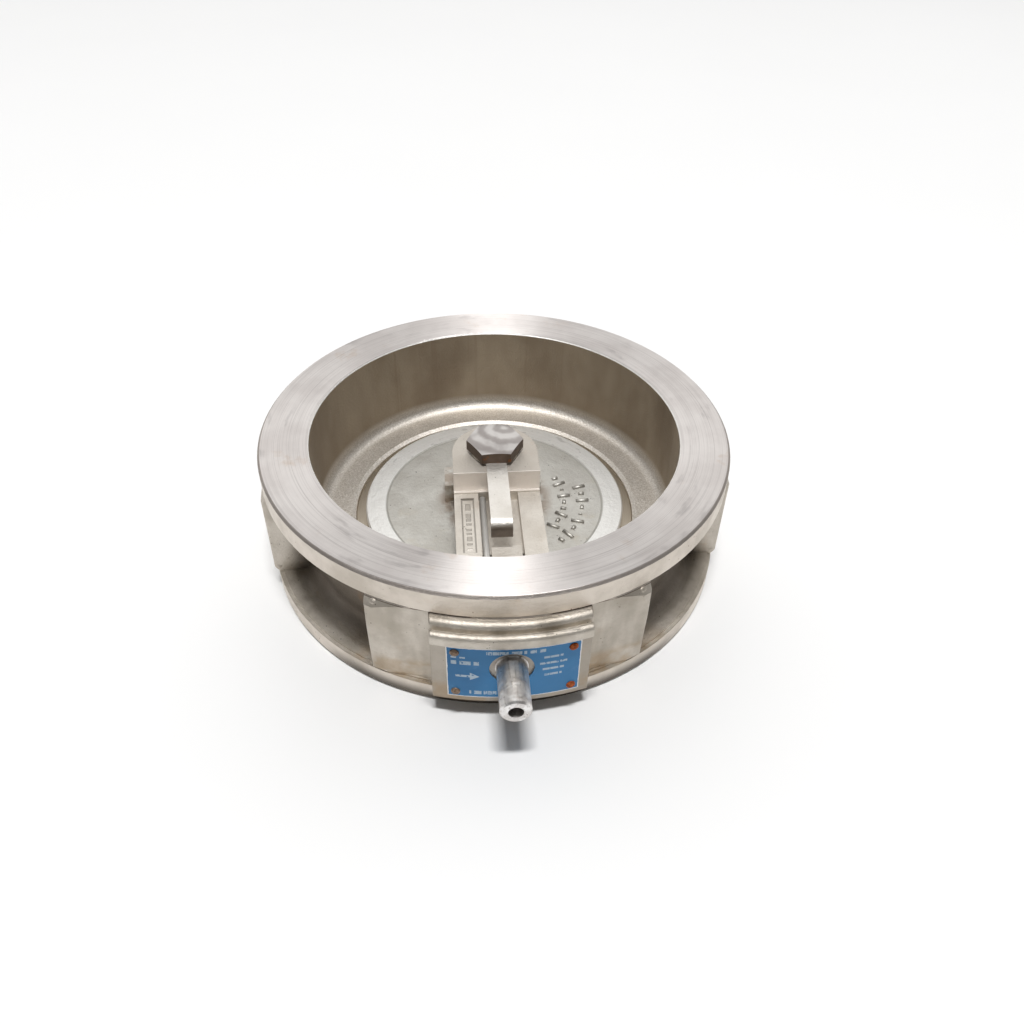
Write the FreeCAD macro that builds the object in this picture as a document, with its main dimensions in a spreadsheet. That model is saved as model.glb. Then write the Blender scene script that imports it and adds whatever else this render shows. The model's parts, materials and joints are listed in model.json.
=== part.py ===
import FreeCAD, Part
import Sketcher
import math
import os

# Wafer swing check valve, 8 in / DN 200, class 150.
# Millimetres.  Origin: centre of the upstream face.  +Z: flow direction and valve axis.
# -Y: the side with the nameplate and the hinge stem.  The disc is shown shut on its seat.

SIZES = {
    # body shell, turned about the valve axis
    "ring_radius": 139.7,
    "face_to_face": 85.0,
    "top_ring": 15.0,
    "bottom_ring": 13.0,
    "ring_chamfer": 1.5,
    "edge_break": 0.8,
    "small_break": 0.5,
    "step_width": 2.2,
    "step_depth": 1.2,
    "bore_radius": 110.4,
    "bore_fillet": 7.0,
    "neck_radius": 119.0,
    "neck_fillet": 11.0,
    "ledge_height": 25.2,
    "ledge_inner": 90.9,
    "pocket_lip": 23.9,
    "pocket_radius": 88.3,
    "pocket_floor": 8.0,
    "port_radius": 76.0,
    # cast lugs between the rings
    "lug_root": 112.0,
    "lug_distance": 136.3,
    "lug_half_width": 40.7,
    "lug_limit": 143.0,
    "lug_slope": 5.0,
    "facet_bottom": 135.5,
    "facet_top": 138.6,
    "facet_half_width": 41.0,
    "facet_angle": 14.8,
    "foot_reach": 138.9,
    "foot_height": 6.0,
    "foot_turned": 136.4,
    "corner_round": 1.6,
    "bump_height": 2.6,
    "bump_radius": 3.4,
    "bump_depth": 1.2,
    # boss on the stem side
    "boss_half_width": 41.5,
    "boss_root": 113.0,
    "boss_bottom": 12.4,
    "panel_radius": 147.2,
    "cornice_radius": 150.9,
    "cornice_bottom": 57.3,
    "cornice_top": 66.4,
    "groove_outer": 147.0,
    "groove_inner": 145.2,
    "groove_floor": 64.2,
    "ridge_top": 69.9,
    "boss_corner": 0.9,
    # seat
    "seat_top": 22.6,
    "seat_bore": 74.0,
    "seal_radius": 77.8,
    "seal_section": 1.6,
    "groove_gap": 0.15,
    "press_gap": 0.05,
    # disc
    "disc_radius": 81.7,
    "disc_gap": 0.2,
    "disc_face": 29.3,
    "disc_rim_inner": 69.1,
    "disc_recess": 0.6,
    "disc_back": 19.5,
    "disc_spigot": 71.5,
    "hub_radius": 25.4,
    "hub_top": 44.0,
    "horn_left": 31.4,
    "horn_right": 29.0,
    "horn_front": 1.5,
    "horn_rear": 17.0,
    "horn_top": 42.5,
    "tail_radius": 22.0,
    "tail_bottom": 15.0,
    # hinge arm
    "arm_half_width": 26.0,
    "arm_top": 67.5,
    "arm_low": 53.0,
    "arm_under": 37.0,
    "step_y": 20.8,
    "toe_y": 22.6,
    "channel_left": 11.5,
    "channel_right": 12.5,
    "channel_floor": 47.0,
    "pad_top": 50.0,
    "deep_rail_y": 34.0,
    "fork_front": 66.0,
    "rail_gap": 0.8,
    "panel_left": 22.0,
    "panel_right": 14.4,
    "panel_front": 74.0,
    "panel_rear": 27.0,
    "panel_depth": 0.9,
    # hinge line and stem
    "hinge_y": 92.0,
    "hinge_z": 40.7,
    "eye_radius": 12.3,
    "ear_radius": 11.5,
    "eye_left": 6.0,
    "eye_right": 11.4,
    "ear_left_inner": 23.6,
    "ear_left_outer": 28.5,
    "ear_right_inner": 12.4,
    "ear_right_outer": 24.5,
    "pin_radius": 5.0,
    "pin_tail": 4.2,
    "pin_groove": 4.0,
    "clip_width": 1.1,
    "clip_radius": 7.6,
    "bush_radius": 7.0,
    "washer_radius": 9.2,
    "running_fit": 0.05,
    "side_gap": 0.1,
    "spot_face": 111.6,
    "gasket_thickness": 1.0,
    "flange_radius": 12.8,
    "flange_back": 106.0,
    "base_thickness": 3.2,
    "base_bottom": 32.0,
    "dowel_x": 10.5,
    "dowel_depth": 5.0,
    "dowel_radius": 1.5,
    "dowel_hole": 1.55,
    "stem_radius": 8.7,
    "stem_bore": 8.8,
    "seal_groove_low": 117.4,
    "seal_groove_high": 120.4,
    "seal_groove_radius": 6.3,
    "stem_seal_section": 1.2,
    "stub_radius": 8.2,
    "stub_start": 146.5,
    "stem_end": 175.0,
    "tap_radius": 4.0,
    "tap_depth": 16.0,
    "nut_radius": 11.85,
    "nut_bore": 12.0,
    "nut_face": 146.2,
    "nut_inner": 135.0,
    "nut_washer": 1.5,
    "slot_half_width": 1.5,
    "slot_depth": 1.6,
    "slot_inner": 9.6,
    # disc bolt and strap
    "bolt_radius": 10.0,
    "bolt_across_flats": 30.0,
    "bolt_head": 9.0,
    "bolt_crown": 60.0,
    "strap_width": 12.3,
    "strap_thickness": 2.2,
    "strap_reach": 68.8,
    "strap_drop": 59.2,
    "strap_eye": 14.4,
    "strap_bend": 5.6,
    "bolt_fit": 0.1,
    # torsion spring
    "wire_radius": 1.95,
    "coil_radius": 8.45,
    "coil_pitch": 4.05,
    "coil_start": 8.9,
    "coil_turns": 3,
    # nameplate and its screws
    "plate_radius": 148.0,
    "plate_offset": 1.2,
    "plate_half_width": 34.7,
    "plate_bottom": 17.6,
    "plate_top": 56.4,
    "plate_hole": 11.7,
    "screw_x": 30.4,
    "screw_low": 21.6,
    "screw_high": 52.4,
    "screw_head": 2.5,
    "screw_shank": 1.2,
    "screw_foot": 143.5,
    "screw_dome": 1.4,
}

SHEET = "Sizes"
KEPT_BY_ROUNDING = 0.98
STEM_SIDE = (-160, -100)  # from outside the boss to inside the bore
THROUGH = 1  # how far a cutting tool runs past a face


class Size:
    """A length with its value and the sheet expression that gives it."""

    def __init__(self, value, text):
        self.value = value
        self.text = text

    def __add__(self, other):
        other = as_size(other)
        return Size(self.value + other.value, f"({self.text} + {other.text})")

    def __sub__(self, other):
        other = as_size(other)
        return Size(self.value - other.value, f"({self.text} - {other.text})")

    def __mul__(self, other):
        other = as_size(other)
        return Size(self.value * other.value, f"({self.text} * {other.text})")

    def __neg__(self):
        return Size(-self.value, f"(0 - {self.text})")

    __radd__ = __add__
    __rmul__ = __mul__

    def __rsub__(self, other):
        return as_size(other) - self


def as_size(number):
    """A Size from a Size or from a plain number."""
    if isinstance(number, Size):
        return number
    if number < 0:
        return Size(float(number), f"(0 - {-number})")
    return Size(float(number), f"{number}")


class Sheet:
    """The driving dimensions: size.ring_radius is the Size of that cell."""

    def __init__(self, doc):
        self.cells = doc.addObject("Spreadsheet::Sheet", SHEET)
        for row, (alias, value) in enumerate(SIZES.items(), start=1):
            self.cells.set(f"A{row}", alias)
            self.cells.set(f"B{row}", str(value))
            self.cells.setAlias(f"B{row}", alias)

    def __getattr__(self, alias):
        return Size(SIZES[alias], f"{SHEET}.{alias}")


doc = FreeCAD.newDocument("wafer_check_valve")
size = Sheet(doc)
doc.recompute()

top = size.face_to_face
hinge = (-size.hinge_y, size.hinge_z)
stem_axis = (0, size.hinge_z)
dowel_axis = (size.dowel_x, size.hinge_z)


# --- helpers: bound primitives, booleans and sketched bodies -------------------------------

def bind(thing, **sizes):
    """Set properties and bind each one to its sheet expression."""
    for name, length in sizes.items():
        length = as_size(length)
        setattr(thing, name, length.value)
        thing.setExpression(name, length.text)
    return thing


def put(thing, place, axis=(0, 0, 1), degrees=0):
    """Turn a thing about an axis through its own origin, then move that origin to a place."""
    place = [as_size(length) for length in place]
    base = FreeCAD.Vector(*[length.value for length in place])
    thing.Placement = FreeCAD.Placement(base, FreeCAD.Rotation(FreeCAD.Vector(*axis), degrees))
    for letter, length in zip("xyz", place):
        thing.setExpression(f".Placement.Base.{letter}", length.text)
    return thing


def block(x, y, z):
    """A box between low and high values on each axis."""
    box = doc.addObject("Part::Box", "block")
    bind(box, Length=x[1] - as_size(x[0]), Width=y[1] - as_size(y[0]), Height=z[1] - as_size(z[0]))
    return put(box, (x[0], y[0], z[0]))


def rod(axis, radius, span, centre):
    """A cylinder along an axis letter, from span[0] to span[1], centred in the other two axes."""
    cylinder = doc.addObject("Part::Cylinder", "rod")
    bind(cylinder, Radius=radius, Height=span[1] - as_size(span[0]))
    if axis == "x":
        return put(cylinder, (span[0], *centre), (0, 1, 0), 90)
    if axis == "y":
        return put(cylinder, (centre[0], span[0], centre[1]), (1, 0, 0), -90)
    return put(cylinder, (*centre, span[0]))


def fuse(*things):
    """The union of several shapes."""
    union = doc.addObject("Part::MultiFuse", "union")
    union.Shapes = list(things)
    union.Refine = True
    return union


def cut(base, *tools):
    """A shape less one or more others."""
    rest = doc.addObject("Part::Cut", "rest")
    rest.Base = base
    rest.Tool = tools[0] if len(tools) == 1 else fuse(*tools)
    rest.Refine = True
    return rest


def common(first, second):
    """What two shapes share."""
    shared = doc.addObject("Part::MultiCommon", "shared")
    shared.Shapes = [first, second]
    return shared


def origin_plane(body, role):
    """One of a body's own origin planes."""
    return next(plane for plane in body.Origin.OriginFeatures if plane.Role == role)


def fix(sketch, kind, point, length):
    """Hold a sketch point at a signed distance from the sketch's origin, bound to the sheet."""
    origin, start = (-1, 1), (point, 1)
    if abs(length.value) < 1e-9:
        line = -2 if kind == "DistanceX" else -1
        sketch.addConstraint(Sketcher.Constraint("PointOnObject", point, 1, line))
        return
    if length.value < 0:
        origin, start = start, origin
        length = -length
    index = sketch.addConstraint(Sketcher.Constraint(kind, *origin, *start, length.value))
    sketch.setExpression(f"Constraints[{index}]", length.text)


def outline_sketch(body, role, points):
    """A closed outline on one of a body's planes, each corner fixed by its two distances."""
    sketch = body.newObject("Sketcher::SketchObject", "outline")
    sketch.AttachmentSupport = (origin_plane(body, role), [""])
    sketch.MapMode = "FlatFace"
    points = [(as_size(across), as_size(up)) for across, up in points]
    corners = [FreeCAD.Vector(across.value, up.value, 0) for across, up in points]
    count = len(corners)
    for index in range(count):
        line = Part.LineSegment(corners[index], corners[(index + 1) % count])
        sketch.addGeometry(line, False)
    for index in range(count):
        sketch.addConstraint(Sketcher.Constraint("Coincident", index, 2, (index + 1) % count, 1))
    for index, (across, up) in enumerate(points):
        fix(sketch, "DistanceX", index, across)
        fix(sketch, "DistanceY", index, up)
    return sketch


def round_edges(body, feature, wanted, radius):
    """Fillet the edges of a feature that a test picks out."""
    doc.recompute()
    edges = feature.Shape.Edges
    names = [f"Edge{index}" for index, edge in enumerate(edges, start=1) if wanted(edge)]
    fillet = body.newObject("PartDesign::Fillet", "fillet")
    fillet.Base = (feature, names)
    bind(fillet, Radius=radius)
    return fillet


def turned(points, rounds=()):
    """A body turned about Z from (radius, height) points, with (radius, height, fillet) rounds."""
    body = doc.addObject("PartDesign::Body", "turned")
    sketch = outline_sketch(body, "XZ_Plane", points)
    feature = body.newObject("PartDesign::Revolution", "revolution")
    feature.Profile = sketch
    feature.ReferenceAxis = (sketch, ["V_Axis"])
    feature.Angle = 360
    sketch.Visibility = False
    for radius, height, fillet in rounds:
        radius, height = as_size(radius), as_size(height)

        def on_corner(edge, radius=radius.value, height=height.value):
            circle = edge.Curve
            return (isinstance(circle, Part.Circle) and abs(circle.Radius - radius) < 0.01
                    and abs(circle.Center.z - height) < 0.01)

        feature = round_edges(body, feature, on_corner, fillet)
    return body


def padded(role, points, length, rounds=()):
    """A body padded evenly both ways from a plane, with rounds at (across, up, fillet) corners."""
    body = doc.addObject("PartDesign::Body", "padded")
    sketch = outline_sketch(body, role, points)
    feature = body.newObject("PartDesign::Pad", "pad")
    feature.Profile = sketch
    feature.Midplane = True
    bind(feature, Length=length)
    sketch.Visibility = False
    for across, up, fillet in rounds:
        across, up = as_size(across).value, as_size(up).value

        def on_corner(edge, across=across, up=up):
            ends = [vertex.Point for vertex in edge.Vertexes]
            at = [(p.x, p.y) if role == "XY_Plane" else (p.y, p.z) for p in ends]
            return len(at) == 2 and all(math.hypot(a - across, b - up) < 0.01 for a, b in at)

        feature = round_edges(body, feature, on_corner, fillet)
    return body


pieces = {}


def piece(label, thing):
    """Name a finished piece; its label is also its file name."""
    thing.Label = label
    pieces[label] = thing
    return thing


def radial_rod(radius, inner, outer, angle, height):
    """A cylinder pointing outwards from the valve axis at an angle from -Y."""
    cylinder = doc.addObject("Part::Cylinder", "radial_rod")
    bind(cylinder, Radius=radius, Height=as_size(outer) - inner)
    return stand_out(cylinder, inner, angle, height)


def stand_out(thing, inner, angle, height):
    """Turn a thing's own +Z to point outwards at an angle from -Y, starting at a radius."""
    across = math.sin(math.radians(angle))
    out = math.cos(math.radians(angle))
    inner = as_size(inner)
    put(thing, (inner * across, inner * -out, height))
    outward = FreeCAD.Vector(across, -out, 0)
    turn = FreeCAD.Rotation(FreeCAD.Vector(0, 0, 1), outward)
    thing.Placement = FreeCAD.Placement(thing.Placement.Base, turn)
    return thing


# --- valve body ------------------------------------------------------------------------------

def body_shell():
    """Two gasket rings, the neck between them, the bore, the ledge and the seat pocket."""
    s = size
    upper = top - s.top_ring
    points = [
        (s.port_radius, 0),
        (s.ring_radius - s.ring_chamfer, 0),
        (s.ring_radius, s.ring_chamfer),
        (s.ring_radius, s.bottom_ring - s.step_depth),
        (s.ring_radius - s.step_width, s.bottom_ring - s.step_depth),
        (s.ring_radius - s.step_width, s.bottom_ring),
        (s.neck_radius, s.bottom_ring),
        (s.neck_radius, upper),
        (s.ring_radius - s.edge_break, upper),
        (s.ring_radius, upper + s.edge_break),
        (s.ring_radius, top - s.ring_chamfer),
        (s.ring_radius - s.ring_chamfer, top),
        (s.bore_radius + s.edge_break, top),
        (s.bore_radius, top - s.edge_break),
        (s.bore_radius, s.ledge_height),
        (s.ledge_inner, s.ledge_height),
        (s.pocket_radius, s.pocket_lip),
        (s.pocket_radius, s.pocket_floor),
        (s.port_radius, s.pocket_floor),
    ]
    rounds = [
        (s.neck_radius, s.bottom_ring, s.neck_fillet),
        (s.neck_radius, upper, s.neck_fillet),
        (s.bore_radius, s.ledge_height, s.bore_fillet),
    ]
    return turned(points, rounds)


def lug(low_distance, high_distance, half_width, angle):
    """A lug from ring to ring with a flat face, drafted if its two distances differ."""
    s = size
    low = s.bottom_ring - 1
    high = top - s.top_ring + 1
    flank = padded("XZ_Plane", [
        (s.lug_root, low),
        (low_distance, low),
        (high_distance, high),
        (s.lug_root, high),
    ], half_width * 2)
    return put(flank, (0, 0, 0), (0, 0, 1), angle)


def lug_envelope():
    """The ring of space that lugs may fill: it slopes in to the rings at both ends."""
    s = size
    low = s.bottom_ring - 1
    high = top - s.top_ring + 1
    edge = s.ring_radius - 0.6
    return turned([
        (s.lug_root, low),
        (edge, low),
        (s.lug_limit, low + s.lug_slope),
        (s.lug_limit, high - s.lug_slope),
        (edge, high),
        (s.lug_root, high),
    ])


def facet_angles():
    """The directions of the two facets that flank the stem boss, from +X."""
    return [-90 + side * SIZES["facet_angle"] for side in (-1, 1)]


def facet_feet():
    """The flared feet of the two facets, trimmed round by the turning of the lower ring."""
    s = size
    low = s.bottom_ring - s.step_depth - 1
    flare = turned([
        (s.lug_root, low),
        (s.foot_turned, low),
        (s.foot_turned, s.bottom_ring + 1),
        (s.facet_bottom, s.bottom_ring + s.foot_height),
        (s.lug_root, s.bottom_ring + s.foot_height),
    ])
    feet = [lug(s.foot_reach, s.foot_reach, s.facet_half_width, angle) for angle in facet_angles()]
    return common(fuse(*feet), flare)


def cast_lugs():
    """Side and rear lugs, and the two facets that flank the stem boss, with soft corners."""
    s = size
    flanks = [lug(s.lug_distance, s.lug_distance, s.lug_half_width, angle) for angle in (0, 90, 180)]
    for angle in facet_angles():
        flanks.append(lug(s.facet_bottom, s.facet_top, s.facet_half_width, angle))
    trimmed = common(fuse(*flanks), lug_envelope())
    doc.recompute()
    corners = []
    for index, edge in enumerate(trimmed.Shape.Edges, start=1):
        ends = [vertex.Point for vertex in edge.Vertexes]
        if len(ends) != 2 or abs(ends[0].z - ends[1].z) < s.lug_slope.value:
            continue
        outside = min(math.hypot(end.x, end.y) for end in ends) > s.ring_radius.value + 0.9
        if outside and math.hypot(ends[0].x - ends[1].x, ends[0].y - ends[1].y) < s.lug_slope.value:
            corners.append((index, s.corner_round.value, s.corner_round.value))
    soft = doc.addObject("Part::Fillet", "soft_corners")
    soft.Base = trimmed
    soft.Edges = corners
    return soft


def corner_bumps():
    """Low cast bumps where the lugs' corners run into the rings."""
    s = size
    reach = s.ring_radius - s.bump_depth
    high = top - s.top_ring - 2.4
    low = s.bottom_ring + 3.0
    spots = [(-119.6, high), (-60.4, high), (-15.8, low), (-164.2, low), (163.1, high), (16.9, high)]
    bumps = []
    for angle, height in spots:
        bump = doc.addObject("Part::Ellipsoid", "bump")
        bind(bump, Radius1=s.bump_height, Radius2=s.bump_radius, Radius3=s.bump_radius)
        across = math.cos(math.radians(angle))
        out = math.sin(math.radians(angle))
        bumps.append(put(bump, (reach * across, reach * out, height)))
    return bumps


def stem_boss():
    """The boss round the stem: a panel for the nameplate under a rounded cornice and a ridge."""
    s = size
    points = [
        (s.boss_root, s.boss_bottom),
        (s.panel_radius, s.boss_bottom),
        (s.panel_radius, s.cornice_bottom),
        (s.cornice_radius, s.cornice_bottom),
        (s.cornice_radius, s.cornice_top),
        (s.groove_outer, s.cornice_top),
        (s.groove_outer, s.groove_floor),
        (s.groove_inner, s.groove_floor),
        (s.groove_inner, s.ridge_top),
        (s.boss_root, s.ridge_top),
    ]
    rounds = [
        (s.cornice_radius, s.cornice_top, 2.8),
        (s.cornice_radius, s.cornice_bottom, 3.6),
        (s.groove_outer, s.cornice_top, 1.0),
        (s.groove_inner, s.ridge_top, 3.4),
        (s.panel_radius, s.boss_bottom, 1.5),
    ]
    wedge = block((-s.boss_half_width, s.boss_half_width), STEM_SIDE, (0, top))
    boss = common(turned(points, rounds), wedge)
    doc.recompute()
    corners = []
    for index, edge in enumerate(boss.Shape.Edges, start=1):
        middle = edge.CenterOfMass
        on_side = abs(abs(middle.x) - s.boss_half_width.value) < 0.01
        if on_side and math.hypot(middle.x, middle.y) > s.groove_inner.value - 2:
            corners.append((index, s.boss_corner.value, s.boss_corner.value))
    soft = doc.addObject("Part::Fillet", "soft_corners")
    soft.Base = boss
    soft.Edges = corners
    doc.recompute()
    if soft.Shape.Volume < KEPT_BY_ROUNDING * boss.Shape.Volume:
        raise RuntimeError("the boss corners could not be rounded")
    return soft


def plate_screw_places():
    """Angle from -Y and height of each of the four plate screws."""
    s = size
    places = []
    for height in (s.screw_high, s.screw_low):
        for across in (s.plate_offset - s.screw_x, s.plate_offset + s.screw_x):
            angle = math.degrees(math.asin(across.value / s.plate_radius.value))
            places.append((angle, height))
    return places


def plate_screw_holes():
    """Tools for the holes that take the plate screws."""
    s = size
    radius = s.screw_shank + s.press_gap
    reach = (s.screw_foot - 2.5, s.plate_radius + 4)
    return [radial_rod(radius, *reach, angle, height) for angle, height in plate_screw_places()]


def valve_body():
    s = size
    casting = fuse(body_shell(), cast_lugs(), facet_feet(), stem_boss(), *corner_bumps())
    nut_seat = -s.nut_inner + s.nut_washer + s.side_gap * 2
    dowel_foot = -s.spot_face - s.dowel_depth - s.side_gap
    tools = [
        rod("y", s.stem_bore, STEM_SIDE, stem_axis),
        rod("y", s.nut_bore, (STEM_SIDE[0], nut_seat), stem_axis),
        rod("y", s.flange_radius + 0.3, (-s.spot_face, -s.flange_back + 10), stem_axis),
        rod("y", s.dowel_hole, (dowel_foot, -s.spot_face + THROUGH), dowel_axis),
        *plate_screw_holes(),
    ]
    return piece("valve_body", cut(casting, *tools))


# --- seat ------------------------------------------------------------------------------------

def seat():
    """A seat ring pressed into the body's pocket, with a round seal in its face."""
    s = size
    groove = s.seal_section + s.groove_gap
    base = s.seat_top - s.seal_section * 2 - s.press_gap
    rim = s.pocket_radius - s.press_gap
    floor = s.pocket_floor + s.press_gap
    points = [
        (s.seat_bore, floor),
        (rim, floor),
        (rim, s.seat_top - s.small_break),
        (rim - s.small_break, s.seat_top),
        (s.seal_radius + groove, s.seat_top),
        (s.seal_radius + groove, base),
        (s.seal_radius - groove, base),
        (s.seal_radius - groove, s.seat_top),
        (s.seat_bore + s.edge_break, s.seat_top),
        (s.seat_bore, s.seat_top - s.edge_break),
    ]
    piece("seat_ring", turned(points))
    seal = doc.addObject("Part::Torus", "seal")
    bind(seal, Radius1=s.seal_radius, Radius2=s.seal_section)
    proud = 0.08
    piece("seat_seal", put(seal, (0, 0, s.seat_top - s.seal_section + proud)))


# --- swinging parts --------------------------------------------------------------------------

def disc():
    s = size
    face = s.seat_top + s.disc_gap
    recess = s.disc_face - s.disc_recess
    hub_top_radius = s.hub_radius - s.edge_break
    points = [
        (0, s.tail_bottom),
        (s.tail_radius, s.tail_bottom),
        (s.tail_radius + 4, s.disc_back),
        (s.disc_spigot - 1.5, s.disc_back),
        (s.disc_spigot, face),
        (s.disc_radius - s.small_break, face),
        (s.disc_radius, face + s.small_break),
        (s.disc_radius, s.disc_face - s.edge_break),
        (s.disc_radius - s.edge_break, s.disc_face),
        (s.disc_rim_inner, s.disc_face),
        (s.disc_rim_inner - s.edge_break, recess),
        (s.hub_radius, recess),
        (hub_top_radius, s.hub_top),
        (0, s.hub_top),
    ]
    rounds = [
        (s.hub_radius, recess, 4.0),
        (hub_top_radius, s.hub_top, 1.5),
    ]
    across = (-s.horn_left, s.horn_right)
    horns = block(across, (-s.horn_front, s.horn_rear), (s.disc_back + THROUGH, s.horn_top))
    drilled = (s.disc_back - THROUGH, s.hub_top + THROUGH)
    hole = rod("z", s.bolt_radius + s.running_fit, drilled, (0, 0))
    return piece("disc", cut(fuse(turned(points, rounds), horns), hole))


def hinge_arm():
    """A flat-topped arm with a round head at the bolt, two rails and an eye at the hinge."""
    s = size
    wide = (-s.arm_half_width, s.arm_half_width)
    slot = (-s.channel_left, s.channel_right)
    head_height = (s.hub_top, s.arm_top)
    rail_end = -s.hinge_y + s.eye_radius + s.rail_gap
    over = s.arm_low + THROUGH
    head = fuse(
        common(rod("z", s.arm_half_width, head_height, (0, 0)), block(wide, (-s.step_y, 30), head_height)),
        block(wide, (-s.step_y, 0), head_height),
        block(wide, (-s.toe_y, 0), (s.hub_top, s.arm_low + 0.9)),
    )
    rails = fuse(
        block(wide, (-s.deep_rail_y, -s.step_y), (s.hub_top, s.arm_low)),
        block(wide, (rail_end, -s.deep_rail_y), (s.arm_under, s.arm_low)),
    )
    eye_span = (-s.eye_left, s.eye_right)
    eye = fuse(
        rod("x", s.eye_radius, eye_span, hinge),
        block(eye_span, (-s.hinge_y, -s.fork_front), (s.arm_under - 5, s.pad_top)),
    )
    fork = (-s.hinge_y, -s.fork_front - 4)
    channel = fuse(
        block(slot, (-s.hinge_y, -s.toe_y), (s.channel_floor, over)),
        block((-s.channel_left, -s.eye_left), fork, (s.base_bottom, over)),
        block((s.eye_right, s.channel_right), fork, (s.base_bottom, over)),
    )
    panel = block(
        (-s.panel_left, -s.panel_right), (-s.panel_front, -s.panel_rear), (s.arm_low - s.panel_depth, over))
    bolt_hole = rod("z", s.bolt_radius + s.bolt_fit, (s.arm_under, s.arm_top + THROUGH), (0, 0))
    casting = cut(fuse(head, rails), channel, panel, bolt_hole)
    bush_hole = rod("x", s.bush_radius, (-s.eye_left - THROUGH, s.eye_right + THROUGH), hinge)
    return piece("hinge_arm", cut(fuse(casting, eye), bush_hole))


def lock_strap():
    """A flat bar under the bolt head whose bent end stops the arm on the bore wall."""
    s = size
    low = s.arm_top
    high = low + s.strap_thickness
    end = -s.strap_reach
    points = [
        (0, low),
        (end + s.strap_thickness, low),
        (end + s.strap_thickness, s.strap_drop),
        (end, s.strap_drop),
        (end, high),
        (0, high),
    ]
    inside_bend = s.strap_bend - s.strap_thickness
    rounds = [(end, high, s.strap_bend), (end + s.strap_thickness, low, inside_bend)]
    bar = padded("YZ_Plane", points, s.strap_width, rounds)
    eye = rod("z", s.strap_eye, (low, high), (0, 0))
    hole = rod("z", s.bolt_radius + s.bolt_fit, (low - THROUGH, high + THROUGH), (0, 0))
    return piece("lock_strap", cut(fuse(bar, eye), hole))


def disc_bolt():
    """A hexagon bolt with a domed, ground head."""
    s = size
    under = s.arm_top + s.strap_thickness
    head = doc.addObject("Part::Prism", "hexagon")
    head.Polygon = 6
    bind(head, Circumradius=s.bolt_across_flats * (1 / math.sqrt(3)), Height=s.bolt_head)
    put(head, (0, 0, under))
    dome = doc.addObject("Part::Sphere", "dome")
    bind(dome, Radius=s.bolt_crown)
    put(dome, (0, 0, under + s.bolt_head - s.bolt_crown))
    shank = rod("z", s.bolt_radius, (s.disc_back, under + THROUGH), (0, 0))
    return piece("disc_bolt", fuse(common(head, dome), shank))


def hinge_bush():
    """A plain bush in the arm's eye, running on the hinge pin."""
    s = size
    span = (-s.eye_left + s.side_gap, s.eye_right - s.side_gap)
    tube = rod("x", s.bush_radius - s.running_fit, span, hinge)
    hole = rod("x", s.pin_radius + s.running_fit, (-s.eye_left, s.eye_right), hinge)
    return piece("hinge_bush", cut(tube, hole))


# --- hinge bracket, pin and spring ---------------------------------------------------------------

def stem():
    """The round stem, turned along its own Z: it passes through the body wall to a tapped end."""
    s = size
    start = s.flange_back
    length = s.stem_end - start
    neck = s.spot_face - s.gasket_thickness - start
    seal_low = s.seal_groove_low - start
    seal_high = s.seal_groove_high - start
    points = [
        (0, 0),
        (s.flange_radius, 0),
        (s.flange_radius, neck),
        (s.stem_radius, neck),
        (s.stem_radius, seal_low),
        (s.seal_groove_radius, seal_low),
        (s.seal_groove_radius, seal_high),
        (s.stem_radius, seal_high),
        (s.stem_radius, s.stub_start - start),
        (s.stub_radius, s.stub_start - start),
        (s.stub_radius, length - 1),
        (s.stub_radius - 1, length),
        (s.tap_radius, length),
        (s.tap_radius, length - s.tap_depth),
        (0, length - s.tap_depth - 2.3),
    ]
    return put(turned(points), (0, -start, s.hinge_z), (1, 0, 0), 90)


def hinge_bracket():
    """Two ears on a base plate, carried by the stem."""
    s = size
    base_front = -s.flange_back + s.base_thickness
    shelf = (s.base_bottom, s.hinge_z + s.coil_radius - s.wire_radius - s.side_gap)
    ears = (-s.ear_left_outer, -s.ear_left_inner), (s.ear_right_inner, s.ear_right_outer)
    parts = [
        stem(),
        block((-s.ear_left_outer, s.ear_right_outer), (-s.flange_back, base_front), shelf),
    ]
    for ear in ears:
        parts.append(rod("x", s.ear_radius, ear, hinge))
        parts.append(block(ear, (-s.flange_back, -s.hinge_y), shelf))
    pin_hole = rod("x", s.pin_radius, (-s.ear_left_outer - THROUGH, s.ear_right_outer + THROUGH), hinge)
    eye_room = rod("x", s.eye_radius + 0.5, (-s.eye_left - 0.6, s.ear_right_inner), hinge)
    dowel_hole = rod("y", s.dowel_hole, (-s.spot_face, -s.flange_back - 0.5), dowel_axis)
    return piece("hinge_bracket", cut(fuse(*parts), pin_hole, eye_room, dowel_hole))


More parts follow.
